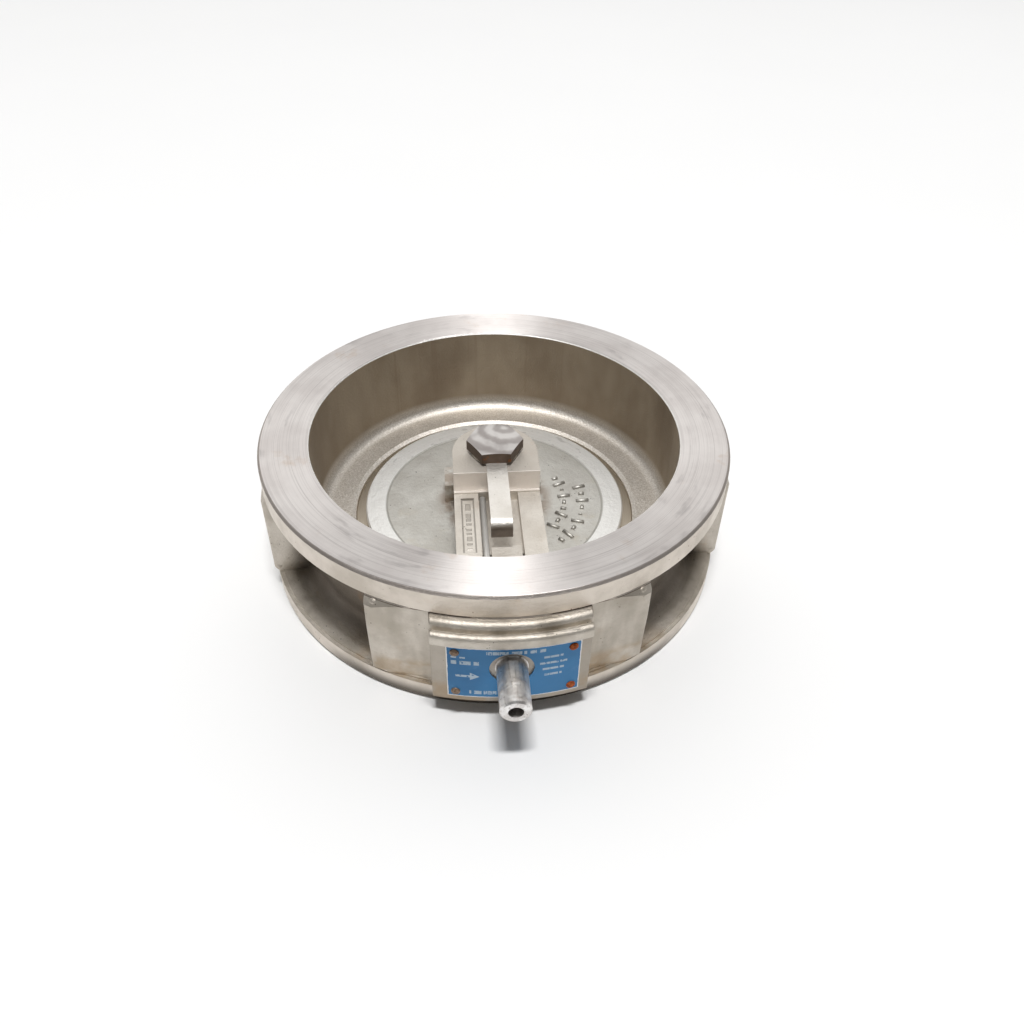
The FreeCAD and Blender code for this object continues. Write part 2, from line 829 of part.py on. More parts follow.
def pin_and_clips():
    """The hinge pin with a spring clip in a groove outside each ear."""
    s = size
    left = -s.ear_left_outer - s.side_gap
    right = s.ear_right_outer + s.side_gap
    groove_width = s.clip_width + s.side_gap
    points = [
        (0, left - s.pin_tail),
        (s.pin_radius - s.edge_break, left - s.pin_tail),
        (s.pin_radius, left - s.pin_tail + s.edge_break),
        (s.pin_radius, left - groove_width),
        (s.pin_groove, left - groove_width),
        (s.pin_groove, left),
        (s.pin_radius, left),
        (s.pin_radius, right),
        (s.pin_groove, right),
        (s.pin_groove, right + groove_width),
        (s.pin_radius, right + groove_width),
        (s.pin_radius, right + s.pin_tail - s.edge_break),
        (s.pin_radius - s.edge_break, right + s.pin_tail),
        (0, right + s.pin_tail),
    ]
    piece("hinge_pin", put(turned(points), (0, *hinge), (0, 1, 0), 90))
    half_gap = s.clip_width * 2
    for name, start in (("left", left - groove_width + s.press_gap), ("right", right + s.press_gap)):
        wide = (start - THROUGH, start + s.clip_width + THROUGH)
        ring = rod("x", s.clip_radius, (start, start + s.clip_width), hinge)
        hole = rod("x", s.pin_groove + s.press_gap, wide, hinge)
        mouth = (-s.hinge_y - s.clip_radius - THROUGH, -s.hinge_y)
        gap = block(wide, mouth, (s.hinge_z - half_gap, s.hinge_z + half_gap))
        piece(f"pin_clip_{name}", cut(ring, hole, gap))


def thrust_washer():
    """A washer between the arm's eye and the right ear."""
    s = size
    span = (s.eye_right + s.side_gap, s.ear_right_inner - s.side_gap)
    ring = rod("x", s.washer_radius, span, hinge)
    hole = rod("x", s.pin_radius + s.running_fit, (s.eye_right, s.ear_right_inner), hinge)
    return piece("thrust_washer", cut(ring, hole))


def spring_coil(start, width):
    """The coils alone: a round wire wound to the left hand, from its start towards +X."""
    s = size
    helix = Part.makeHelix(s.coil_pitch.value, width.value, s.coil_radius.value, 0, True)
    turn = FreeCAD.Rotation(FreeCAD.Vector(0, 0, 1), FreeCAD.Vector(0, -1, 0), FreeCAD.Vector(1, 0, 0))
    axis_start = FreeCAD.Vector(start.value, -s.hinge_y.value, s.hinge_z.value)
    helix.Placement = FreeCAD.Placement(axis_start, turn)
    edge = helix.Edges[0]
    begin = edge.valueAt(edge.FirstParameter)
    section = Part.makeCircle(s.wire_radius.value, begin, edge.tangentAt(edge.FirstParameter))
    coil = doc.addObject("Part::Feature", "coil")
    coil.Shape = Part.Wire(edge).makePipeShell([Part.Wire(section)], True, True)
    return coil


def torsion_spring():
    """Coils on the pin: one leg lies along the arm's channel, one on the bracket's base."""
    s = size
    width = s.coil_pitch * s.coil_turns
    right = -s.coil_start
    left = right - width
    crown = s.hinge_z + s.coil_radius
    parts = [
        spring_coil(left, width),
        rod("y", s.wire_radius, (-s.hinge_y, -s.step_y - 2.6), (right, crown)),
        rod("y", s.wire_radius, (-s.flange_back + 0.4, -s.hinge_y), (left, crown)),
    ]
    for across in (left, right):
        bend = doc.addObject("Part::Sphere", "bend")
        bind(bend, Radius=s.wire_radius)
        parts.append(put(bend, (across, -s.hinge_y, crown)))
    return piece("torsion_spring", fuse(*parts))


def stem_fittings():
    """Gasket, dowel, seal, washer and round nut that hold the stem in the body."""
    s = size
    face = -s.spot_face
    inner = face + s.gasket_thickness
    through = (face - THROUGH, inner + THROUGH)
    gasket = rod("y", s.flange_radius, (face, inner), stem_axis)
    hole = rod("y", s.stem_bore, through, stem_axis)
    dowel_hole = rod("y", s.dowel_hole, through, dowel_axis)
    piece("bracket_gasket", cut(gasket, hole, dowel_hole))
    dowel_span = (face - s.dowel_depth, -s.flange_back - 0.6)
    piece("bracket_dowel", rod("y", s.dowel_radius, dowel_span, dowel_axis))
    seal = doc.addObject("Part::Torus", "seal")
    section = s.stem_seal_section
    bind(seal, Radius1=s.stem_bore - section - s.press_gap, Radius2=section)
    middle = (s.seal_groove_low + s.seal_groove_high) * -0.5
    piece("stem_seal", put(seal, (0, middle, s.hinge_z), (1, 0, 0), 90))
    washer_face = -s.nut_inner + s.side_gap
    washer = rod("y", s.nut_radius, (washer_face, washer_face + s.nut_washer), stem_axis)
    washer_hole = rod("y", s.stem_bore, STEM_SIDE, stem_axis)
    piece("nut_washer", cut(washer, washer_hole))
    nut = rod("y", s.nut_radius, (-s.nut_face, -s.nut_inner), stem_axis)
    thread = rod("y", s.stem_radius + s.running_fit, STEM_SIDE, stem_axis)
    across = (-s.slot_half_width, s.slot_half_width)
    along = (-s.nut_face - THROUGH, -s.nut_face + s.slot_depth)
    upper = (s.hinge_z + s.slot_inner, s.hinge_z + s.nut_bore)
    lower = (s.hinge_z - s.nut_bore, s.hinge_z - s.slot_inner)
    piece("stem_nut", cut(nut, thread, block(across, along, upper), block(across, along, lower)))


# --- nameplate -----------------------------------------------------------------------------------

def nameplate():
    """A thin plate curved to the panel, a little off the stem's centre line."""
    s = size
    inner = s.panel_radius + s.press_gap
    sleeve = turned([
        (inner, s.plate_bottom),
        (s.plate_radius, s.plate_bottom),
        (s.plate_radius, s.plate_top),
        (inner, s.plate_top),
    ])
    left = s.plate_offset - s.plate_half_width
    right = s.plate_offset + s.plate_half_width
    window = block((left, right), STEM_SIDE, (0, top))
    stem_hole = rod("y", s.plate_hole, STEM_SIDE, stem_axis)
    piece("nameplate", cut(common(sleeve, window), stem_hole, *plate_screw_holes()))


def plate_screws():
    """Four drive screws with low domed heads."""
    s = size
    seat_height = s.plate_radius - s.screw_foot + 0.02
    points = [
        (0, 0),
        (s.screw_shank, 0),
        (s.screw_shank, seat_height),
        (s.screw_head, seat_height),
        (s.screw_head - 0.15, seat_height + s.screw_dome * 0.4),
        (s.screw_head - 1.1, seat_height + s.screw_dome * 0.8),
        (0, seat_height + s.screw_dome),
    ]
    for number, (angle, height) in enumerate(plate_screw_places(), start=1):
        piece(f"plate_screw_{number}", stand_out(turned(points), s.screw_foot, angle, height))


# --- build, check and write ----------------------------------------------------------------------

valve_body()
seat()
disc()
hinge_arm()
lock_strap()
disc_bolt()
hinge_bush()
hinge_bracket()
pin_and_clips()
thrust_washer()
torsion_spring()
stem_fittings()
nameplate()
plate_screws()
doc.recompute()

for thing in doc.Objects:
    if "Invalid" in thing.State or "Error" in thing.State:
        raise RuntimeError(f"{thing.Label} ({thing.TypeId}) failed: {thing.State}")
for label, thing in pieces.items():
    if thing.Shape.isNull() or not thing.Shape.isValid():
        raise RuntimeError(f"{label} has no valid shape")

os.makedirs("parts", exist_ok=True)
for label, thing in pieces.items():
    thing.Shape.exportStep(os.path.join("parts", f"{label}.step"))
    print(f"{label}: {len(thing.Shape.Solids)} solid, {thing.Shape.Volume / 1000:.2f} cm3")
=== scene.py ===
import json
import math

import bpy
from mathutils import Matrix, Vector


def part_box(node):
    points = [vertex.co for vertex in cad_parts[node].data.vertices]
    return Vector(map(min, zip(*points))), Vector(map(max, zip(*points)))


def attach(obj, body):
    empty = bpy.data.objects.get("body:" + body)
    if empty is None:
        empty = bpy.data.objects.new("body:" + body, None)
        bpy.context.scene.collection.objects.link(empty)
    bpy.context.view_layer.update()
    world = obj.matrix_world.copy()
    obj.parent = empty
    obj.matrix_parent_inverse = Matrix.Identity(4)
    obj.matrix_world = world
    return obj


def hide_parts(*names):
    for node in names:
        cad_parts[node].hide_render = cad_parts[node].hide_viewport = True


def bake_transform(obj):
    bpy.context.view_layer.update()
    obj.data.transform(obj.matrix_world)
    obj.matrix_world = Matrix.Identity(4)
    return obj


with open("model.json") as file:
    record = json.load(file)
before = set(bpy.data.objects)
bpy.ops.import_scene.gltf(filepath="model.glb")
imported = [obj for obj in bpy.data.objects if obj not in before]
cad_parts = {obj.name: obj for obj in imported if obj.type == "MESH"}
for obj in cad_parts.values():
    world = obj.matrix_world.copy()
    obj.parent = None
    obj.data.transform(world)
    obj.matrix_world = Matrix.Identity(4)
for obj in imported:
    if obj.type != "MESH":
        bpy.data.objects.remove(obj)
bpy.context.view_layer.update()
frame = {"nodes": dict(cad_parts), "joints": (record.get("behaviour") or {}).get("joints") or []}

MM = 0.001

# Metres: the ring's radius, the gasket face, the pin's axis, the arm's step and its tag recess.
RING = (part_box("valve_body")[1].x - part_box("valve_body")[0].x) / 2
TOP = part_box("valve_body")[1].z
HINGE = Vector(frame["joints"][0]["pos_m"])
STEP_Y = -0.0208
TAG_LEFT, TAG_RIGHT = -0.0220, -0.0144
TAG_FRONT, TAG_REAR = -0.0740, -0.0270


# --- node recipes --------------------------------------------------------------------------------

class Recipe:
    """One material's node tree, with short calls for the nodes that the finishes share."""

    def __init__(self, name):
        self.material = bpy.data.materials.new(name)
        self.material.use_nodes = True
        self.tree = self.material.node_tree
        self.shader = self.tree.nodes["Principled BSDF"]
        self.place = self.node("ShaderNodeTexCoord").outputs["Object"]
        split = self.node("ShaderNodeSeparateXYZ", {0: self.place})
        self.x, self.y, self.z = split.outputs
        flat = self.node("ShaderNodeCombineXYZ", {0: self.x, 1: self.y})
        self.radius = self.vector_math("LENGTH", flat.outputs[0]).outputs["Value"]
        self.bumps = []

    def node(self, kind, inputs=None, **settings):
        made = self.tree.nodes.new(kind)
        for name, value in settings.items():
            setattr(made, name, value)
        for key, value in (inputs or {}).items():
            self.feed(made.inputs[key], value)
        return made

    def feed(self, socket, value):
        if isinstance(value, bpy.types.NodeSocket):
            self.tree.links.new(value, socket)
        else:
            socket.default_value = value

    def math(self, operation, first, second=0.0):
        return self.node("ShaderNodeMath", {0: first, 1: second}, operation=operation).outputs[0]

    def vector_math(self, operation, first, second=(0, 0, 0)):
        return self.node("ShaderNodeVectorMath", {0: first, 1: second}, operation=operation)

    def step(self, value, low, high):
        """0 below low, 1 above high and smooth between; low may be the larger."""
        ramp = self.node("ShaderNodeMapRange", {0: value, 1: low, 2: high, 3: 0.0, 4: 1.0})
        ramp.interpolation_type = "SMOOTHSTEP"
        return ramp.outputs[0]

    def both(self, *masks):
        result = masks[0]
        for mask in masks[1:]:
            result = self.math("MULTIPLY", result, mask)
        return result

    def noise(self, scale, detail=3.0, roughness=0.55, stretch=None, distortion=0.0):
        vector = self.place
        if stretch:
            vector = self.vector_math("MULTIPLY", vector, stretch).outputs[0]
        return self.node("ShaderNodeTexNoise", {
            "Vector": vector, "Scale": scale, "Detail": detail,
            "Roughness": roughness, "Distortion": distortion}).outputs["Fac"]

    def rings(self, scale, detail=2.0):
        """Noise that depends on the radius alone, as a lathe tool leaves."""
        made = self.node("ShaderNodeTexNoise", {
            "W": self.radius, "Scale": scale, "Detail": detail}, noise_dimensions="1D")
        return made.outputs["Fac"]

    def breaks(self, along, scale):
        """Noise in one direction, which cuts a printed or stamped line into uneven pieces."""
        return self.node("ShaderNodeTexNoise", {
            "W": along, "Scale": scale, "Detail": 0.0}, noise_dimensions="1D").outputs["Fac"]

    def streaks(self, across, along, detail=3.0):
        """Noise drawn out round the axis: across sets its fineness in radius, along in angle."""
        polar = self.node("ShaderNodeCombineXYZ", {
            0: self.math("MULTIPLY", self.math("DIVIDE", self.x, self.radius), along),
            1: self.math("MULTIPLY", self.math("DIVIDE", self.y, self.radius), along),
            2: self.math("MULTIPLY", self.math("ADD", self.radius, self.z), across)})
        return self.node("ShaderNodeTexNoise", {
            "Vector": polar.outputs[0], "Scale": 1.0, "Detail": detail}).outputs["Fac"]

    def band(self, value, low, high, soft):
        """1 between low and high, fading out over soft at each end."""
        return self.both(self.step(value, low - soft, low), self.step(value, high + soft, high))

    def pits(self, scale, size):
        """Sparse round dots."""
        cells = self.node("ShaderNodeTexVoronoi", {"Vector": self.place, "Scale": scale})
        dot = self.step(cells.outputs["Distance"], size, size * 0.45)
        keep = self.step(self.noise(scale * 0.31, 1.0), 0.60, 0.64)
        return self.both(dot, keep)

    def blend(self, factor, first, second):
        mix = self.node("ShaderNodeMix", data_type="RGBA")
        self.feed(mix.inputs["Factor"], factor)
        self.feed(mix.inputs[6], colour(first))
        self.feed(mix.inputs[7], colour(second))
        return mix.outputs[2]

    def fade(self, factor, first, second):
        mix = self.node("ShaderNodeMix", data_type="FLOAT")
        self.feed(mix.inputs["Factor"], factor)
        self.feed(mix.inputs[2], first)
        self.feed(mix.inputs[3], second)
        return mix.outputs[0]

    def bump(self, height, depth, strength=1.0):
        """Add a height pattern whose full swing is depth, in metres."""
        self.bumps.append((height, depth, strength))

    def finish(self, base, roughness, metallic=1.0, **sockets):
        self.feed(self.shader.inputs["Base Color"], colour(base))
        self.feed(self.shader.inputs["Roughness"], roughness)
        self.feed(self.shader.inputs["Metallic"], metallic)
        for name, value in sockets.items():
            self.feed(self.shader.inputs[name.replace("_", " ")], value)
        normal = None
        for height, depth, strength in self.bumps:
            made = self.node("ShaderNodeBump", {
                "Height": height, "Distance": depth, "Strength": strength})
            if normal is not None:
                self.tree.links.new(normal, made.inputs["Normal"])
            normal = made.outputs["Normal"]
        if normal is not None:
            self.tree.links.new(normal, self.shader.inputs["Normal"])
        return self.material


def colour(value):
    """An sRGB triple 0 to 255 as linear RGBA; sockets pass through."""
    if isinstance(value, bpy.types.NodeSocket):
        return value
    linear = []
    for channel in value:
        part = channel / 255
        linear.append(part / 12.92 if part <= 0.04045 else ((part + 0.055) / 1.055) ** 2.4)
    return (*linear, 1.0)


def cast_skin(recipe, light, dark, grain=1.0, relief=1.0):
    """Shot-blasted casting: fine grain, soft mottling and pits; relief 0 where it is machined."""
    fine = recipe.noise(2600 / grain, 2.0)
    mid = recipe.noise(700 / grain, 4.0)
    soft = recipe.noise(42, 4.0)
    recipe.bump(recipe.both(fine, relief), 0.00010)
    recipe.bump(recipe.both(mid, relief), 0.00022)
    recipe.bump(recipe.both(recipe.noise(120, 2.0), relief), 0.0006, 0.5)
    base = recipe.blend(recipe.step(soft, 0.34, 0.68), light, dark)
    base = recipe.blend(recipe.math("MULTIPLY", recipe.step(mid, 0.45, 0.70), 0.25), base, dark)
    pits = recipe.pits(420, 0.20)
    base = recipe.blend(recipe.math("MULTIPLY", pits, 0.75), base, (58, 50, 42))
    return base


def ochre(recipe, base, amount, where=None):
    """Faint rust staining in patches."""
    patch = recipe.step(recipe.noise(38, 5.0, 0.65), 0.60, 0.74)
    if where is not None:
        patch = recipe.both(patch, where)
    return recipe.blend(recipe.math("MULTIPLY", patch, amount), base, (170, 128, 72))


# Printed bars on the nameplate: left, right, bottom and top in millimetres.
PRINTED_BARS = [
    (-13.0, 17.0, 52.0, 54.2),
    (-31.0, -24.0, 48.4, 49.4),
    (-31.0, -17.0, 43.6, 46.2),
    (16.5, 26.5, 46.8, 48.2),
    (14.5, 28.5, 42.2, 43.6),
    (16.0, 27.0, 37.6, 39.0),
    (17.0, 26.0, 33.0, 34.4),
    (-22.0, -8.0, 20.2, 22.8),
]

# The nameplate's arrow, in metres: along x, and its height.
ARROW_TAIL, ARROW_NECK, ARROW_TIP = -0.0290, -0.0215, -0.0165
ARROW_Z = 0.0345


# --- finishes ------------------------------------------------------------------------------------

def body_finish():
    """Turned gasket faces, stained ring edges and a browner bore; the rest is as cast, with
    painted shade in the pockets, under the front boss, under the upper ring and low on the lower
    ring's front.
    """
    r = Recipe("body_steel")
    face = r.math("MAXIMUM", r.step(r.z, TOP - 0.0004, TOP - 0.00005),
                  r.step(r.z, 0.0004, 0.00005))
    as_cast = r.math("SUBTRACT", 1.0, face)
    cast = cast_skin(r, (214, 207, 197), (186, 178, 166), relief=as_cast)
    runs = r.noise(48, 3.0, stretch=(1, 1, 0.16))
    cast = r.blend(r.math("MULTIPLY", r.step(runs, 0.50, 0.70), 0.45), cast, (150, 141, 128))
    # painted shade: the deep pockets between the rings are darkened where shade falls into them
    pocket_shade = r.both(r.step(r.radius, 0.1345, 0.1225), r.step(r.radius, 0.1125, 0.1150))
    cast = r.blend(r.math("MULTIPLY", pocket_shade, 0.80), cast, (108, 97, 86))
    front = r.step(r.y, -0.09, -0.115)
    boss = r.both(front, r.step(r.radius, 0.1462, 0.1468), r.step(r.z, 0.0585, 0.0570))
    cast = r.blend(r.math("MULTIPLY", boss, 0.55), cast, (158, 149, 138))
    # painted shade: the bottom of the front boss is darkened
    under_boss_shade = r.both(front, r.step(r.radius, 0.1402, 0.1410), r.step(r.z, 0.0138, 0.0128))
    cast = r.blend(under_boss_shade, cast, (70, 62, 56))
    # painted shade: the underside of the upper ring over the front boss is darkened
    under_ring_shade = r.both(r.band(r.z, 0.0698, 0.0707, 0.0006),
                        r.step(r.radius, 0.1403, 0.1400), front)
    cast = r.blend(r.math("MULTIPLY", under_ring_shade, 0.8), cast, (92, 76, 66))
    foot_stain = r.both(r.band(r.z, 0.0125, 0.022, 0.008), front,
                        r.step(r.noise(60, 3.0), 0.42, 0.60))
    cast = r.blend(r.math("MULTIPLY", foot_stain, 0.35), cast, (170, 138, 92))
    cast = ochre(r, cast, 0.20)

    inside = r.step(r.radius, 0.1125, 0.1112)
    wall = r.both(inside, r.step(r.z, 0.028, 0.036))
    cloud = r.noise(22, 3.0, stretch=(1, 1, 0.5))
    bore = r.blend(r.step(cloud, 0.30, 0.70), (184, 171, 153), (154, 140, 123))
    drips = r.streaks(6.0, 26.0)
    bore = r.blend(r.math("MULTIPLY", r.step(drips, 0.55, 0.75), 0.25), bore, (140, 124, 108))
    cast = r.blend(wall, cast, bore)
    ledge = r.both(inside, r.step(r.z, 0.036, 0.028))
    sparkle = r.noise(1100, 3.0)
    ledge_tone = r.blend(r.step(sparkle, 0.35, 0.70), (204, 197, 187), (232, 227, 220))
    cast = r.blend(ledge, cast, ledge_tone)
    lip = r.both(r.step(r.radius, 0.1116, 0.1112), r.step(r.radius, 0.1101, 0.1104),
                 r.step(r.z, 0.0838, 0.0842))
    cast = r.blend(lip, cast, (244, 242, 238))

    outside = r.both(r.step(r.radius, RING - 0.0004, RING - 0.0001),
                     r.step(r.radius, RING + 0.0003, RING + 0.0001))
    in_rings = r.math("MAXIMUM", r.step(r.z, 0.0136, 0.0130), r.step(r.z, 0.0696, 0.0702))
    edge = r.both(outside, in_rings)
    chamfer = r.both(r.step(r.radius, RING - 0.0017, RING - 0.0014),
                     r.step(r.z, TOP - 0.0018, TOP - 0.0014),
                     r.step(r.z, TOP - 0.00002, TOP - 0.0002))
    turned = r.blend(r.step(r.noise(26, 4.0), 0.35, 0.65), (222, 217, 214), (208, 202, 199))
    fine = r.step(r.streaks(1900, 1.6), 0.44, 0.68)
    turned = r.blend(r.math("MULTIPLY", fine, 0.20), turned, (158, 153, 151))
    smears = r.both(r.step(r.streaks(160, 6.0, 5.0), 0.55, 0.70),
                    r.step(r.noise(34, 3.0), 0.44, 0.62))
    turned = r.blend(r.math("MULTIPLY", smears, 0.34), turned, (146, 141, 140))
    scribed = r.math("MAXIMUM", r.band(r.radius, 0.1302, 0.1303, 0.0001),
                     r.band(r.radius, 0.1214, 0.1215, 0.0001))
    turned = r.blend(r.math("MULTIPLY", scribed, 0.35), turned, (140, 136, 134))
    turned = ochre(r, turned, 0.22)
    side = r.blend(r.step(r.noise(30, 5.0, 0.6), 0.40, 0.66), (220, 211, 200), (196, 187, 175))
    ink = r.step(r.noise(62, 5.0, 0.75, distortion=0.8), 0.645, 0.70)
    side = r.blend(r.math("MULTIPLY", ink, 0.55), side, (100, 96, 92))
    side = r.blend(r.math("MULTIPLY", r.pits(260, 0.16), 0.7), side, (120, 78, 48))
    side = ochre(r, side, 0.25)
    # painted shade: the front of the lower ring's side darkens towards the floor
    side = r.blend(r.both(r.step(r.z, 0.0110, 0.0020), front), side, (104, 97, 89))
    base = r.blend(edge, cast, side)
    base = r.blend(face, base, turned)
    base = r.blend(r.math("MULTIPLY", chamfer, 0.75), base, (150, 142, 138))

    rough = r.fade(edge, r.fade(r.noise(60, 3.0), 0.46, 0.60), 0.42)
    rough = r.fade(face, rough, r.fade(fine, 0.36, 0.44))
    r.bump(r.both(face, r.streaks(3200, 0.8)), 0.00005)
    r.bump(r.both(edge, r.noise(900, 2.0, stretch=(0.12, 0.12, 1))), 0.00006)
    turn = r.node("ShaderNodeTangent", direction_type="RADIAL", axis="Z").outputs[0]
    return r.finish(base, rough, Anisotropic=r.fade(face, 0.0, 0.86), Anisotropic_Rotation=0.25,
                    Tangent=turn)


def seat_finish():
    r = Recipe("seat_steel")
    base = r.blend(r.rings(900), (222, 212, 196), (196, 184, 166))
    r.bump(r.rings(4200, 3.0), 0.00004)
    return r.finish(base, r.fade(r.rings(600), 0.26, 0.40))


def disc_finish():
    """A turned outer band round an as-cast middle, with faint strokes drawn on the band."""
    r = Recipe("disc_steel")
    cast = cast_skin(r, (214, 212, 206), (198, 195, 188), 1.3)
    bloom = r.step(r.noise(30, 4.0, 0.6), 0.56, 0.74)
    cast = r.blend(r.math("MULTIPLY", bloom, 0.35), cast, (196, 180, 146))
    band = r.step(r.radius, 0.0684, 0.0692)
    turned = r.blend(r.rings(700), (250, 249, 246), (240, 239, 235))
    rounded_edge = r.band(r.radius, 0.0680, 0.0692, 0.0004)
    strokes = r.both(r.step(r.streaks(260, 9.0, 1.0), 0.64, 0.68), r.step(r.y, 0.030, 0.045))
    turned = r.blend(r.math("MULTIPLY", strokes, 0.28), turned, (150, 145, 140))
    # painted shade and rust: darker brown patches round the hub, under the arm
    hub_rust_and_shade = r.both(r.step(r.radius, 0.040, 0.030), r.step(r.noise(110, 3.0), 0.36, 0.60))
    cast = r.blend(r.math("MULTIPLY", hub_rust_and_shade, 0.6), cast, (150, 128, 108))
    horn = r.both(r.step(r.radius, 0.038, 0.034), r.band(r.z, 0.032, 0.039, 0.003))
    cast = r.blend(r.both(horn, r.step(r.noise(160, 3.0), 0.35, 0.60)), cast, (142, 122, 98))
    # painted shade: the lower parts of the raised casting marks are darkened where they meet the
    # disc
    mark_base_shade = r.both(r.band(r.z, 0.02892, 0.02925, 0.0001), r.step(r.radius, 0.036, 0.037),
                  r.step(r.radius, 0.066, 0.065))
    cast = r.blend(r.math("MULTIPLY", mark_base_shade, 0.50), cast, (120, 116, 110))
    base = r.blend(band, cast, turned)
    base = r.blend(r.math("MULTIPLY", rounded_edge, 0.6), base, (178, 176, 170))
    r.bump(r.both(band, r.rings(3800, 2.0)), 0.00003)
    rough = r.math("MAXIMUM", r.fade(band, 0.54, 0.44), r.math("MULTIPLY", rounded_edge, 0.8))
    return r.finish(base, rough, metallic=r.fade(band, 0.95, 0.75))


def arm_finish():
    """Blasted casting with a step painted brighter as if lit, painted shade round the tag recess
    and plain stamped dashes in it.
    """
    r = Recipe("arm_casting")
    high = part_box("hinge_arm")[1]
    base = cast_skin(r, (226, 220, 211), (208, 201, 191))
    head = r.step(r.z, high.z - 0.0012, high.z - 0.0004)
    base = r.blend(r.math("MULTIPLY", head, 0.6), base, (178, 170, 160))
    # painted light: the front face of the arm's step is coloured brighter than the rest, as if lit
    shoulder_painted_light = r.both(r.step(r.y, STEP_Y + 0.0006, STEP_Y + 0.0002), r.step(r.z, 0.0531, 0.0545))
    base = r.blend(shoulder_painted_light, base, (250, 244, 238))
    from_left = r.math("SUBTRACT", r.x, TAG_LEFT)
    from_front = r.math("SUBTRACT", r.y, TAG_FRONT)
    long = TAG_REAR - TAG_FRONT
    wide = TAG_RIGHT - TAG_LEFT
    recess = r.both(r.band(from_left, 0.0, wide, 0.0003), r.band(from_front, 0.0, long, 0.0003),
                    r.step(r.z, high.z - 0.010, high.z - 0.012))
    inner = r.both(r.band(from_left, 0.0009, wide - 0.0009, 0.0002),
                   r.band(from_front, 0.0009, long - 0.0012, 0.0002))
    # painted shade: a dark border inside the tag recess's edges, where its walls fall into shade
    recess_edge_shade = r.math("SUBTRACT", recess, r.both(recess, inner))
    base = r.blend(r.math("MULTIPLY", recess_edge_shade, 0.55), base, (112, 104, 96))
    dashes = r.breaks(r.y, 300.0)
    stamped = r.both(r.band(from_left, 0.0026, 0.0052, 0.0003),
                     r.band(from_front, 0.004, long - 0.005, 0.001),
                     r.step(dashes, 0.45, 0.49), inner)
    base = r.blend(r.math("MULTIPLY", stamped, 0.45), base, (138, 130, 120))
    r.bump(stamped, 0.0004)
    base = ochre(r, base, 0.25)
    return r.finish(base, r.fade(r.noise(80, 3.0), 0.48, 0.62), metallic=0.75)


def nut_finish():
    r = Recipe("nut_steel")
    base = ochre(r, cast_skin(r, (204, 197, 188), (170, 161, 150)), 0.30)
    return r.finish(base, r.fade(r.noise(80, 3.0), 0.40, 0.55))


def strap_finish():
    """The same casting tone, with painted shade where its end turns down."""
    r = Recipe("strap_steel")
    low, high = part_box("lock_strap")
    base = cast_skin(r, (238, 234, 228), (224, 219, 211))
    # painted shade: the turned-down end is coloured dark where it faces down, away from the light
    end = r.both(r.step(r.y, low.y + 0.006, low.y + 0.002),
                 r.step(r.z, high.z - 0.0010, high.z - 0.0050))
    base = r.blend(r.math("MULTIPLY", end, 0.90), base, (84, 74, 66))
    return r.finish(base, 0.48)


def bolt_finish():
    """A ground crown with broad swirls and dull brown flats."""
    r = Recipe("ground_steel")
    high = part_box("disc_bolt")[1]
    normal = r.node("ShaderNodeNewGeometry").outputs["Normal"]
    up = r.node("ShaderNodeSeparateXYZ", {0: normal}).outputs["Z"]
    crown = r.both(r.step(up, 0.55, 0.80), r.step(r.z, high.z - 0.005, high.z - 0.004))
    centre = r.vector_math("SUBTRACT", r.place, (0.006, 0.009, high.z)).outputs[0]
    swirl = r.node("ShaderNodeTexWave", {
        "Vector": centre, "Scale": 34.0, "Distortion": 2.4, "Detail": 3.0,
        "Detail Scale": 2.0, "Detail Roughness": 0.6},
        wave_type="RINGS", rings_direction="Z").outputs["Fac"]
    patches = r.noise(60, 3.0, 0.5, distortion=0.6)
    top = r.blend(r.step(swirl, 0.10, 0.95), (206, 202, 199), (166, 160, 157))
    top = r.blend(r.math("MULTIPLY", r.step(patches, 0.40, 0.70), 0.40), top, (140, 133, 130))
    sides = r.blend(r.noise(220, 4.0), (112, 98, 88), (82, 70, 61))
    sides = r.blend(r.step(r.noise(160, 4.0), 0.62, 0.72), sides, (134, 92, 62))
    r.bump(r.both(crown, swirl), 0.00022)
    r.bump(r.noise(900, 3.0), 0.00006)
    return r.finish(r.blend(crown, sides, top), r.fade(crown, 0.45, r.fade(patches, 0.28, 0.42)))


def stem_finish():
    """Worn bar with hammered bright spots, scratches along it and a little grime."""
    r = Recipe("stem_steel")
    long_scratch = r.noise(700, 3.0, stretch=(1, 0.12, 1))
    dents = r.noise(150, 3.0, 0.55, distortion=0.4)
    base = r.blend(r.step(dents, 0.36, 0.64), (242, 240, 238), (208, 203, 199))
    scratched = r.math("MULTIPLY", r.step(long_scratch, 0.52, 0.70), 0.35)
    base = r.blend(scratched, base, (128, 120, 114))
    grime = r.step(r.noise(380, 3.0), 0.64, 0.70)
    base = r.blend(r.math("MULTIPLY", grime, 0.5), base, (112, 100, 90))
    r.bump(dents, 0.0006)
    r.bump(long_scratch, 0.00012)
    return r.finish(base, r.fade(dents, 0.30, 0.46))


def bright_finish(name, light, dark, rough, metallic=1.0):
    """Plain drawn or turned steel with fine scratches."""
    r = Recipe(name)
    grain = r.noise(1400, 3.0, stretch=(1, 0.15, 1))
    base = r.blend(grain, light, dark)
    r.bump(grain, 0.00004)
    return r.finish(base, r.fade(r.noise(150, 3.0), rough - 0.07, rough + 0.07), metallic)


def rubber_finish():
    r = Recipe("rubber")
    r.bump(r.noise(1500, 2.0), 0.00004)
    return r.finish(r.blend(r.noise(300, 3.0), (34, 33, 32), (24, 24, 24)), 0.62, metallic=0.0)


def gasket_finish():
    r = Recipe("gasket")
    r.bump(r.noise(900, 3.0), 0.00005)
    base = r.blend(r.noise(260, 4.0), (226, 223, 214), (205, 200, 188))
    return r.finish(base, 0.55, metallic=0.0)


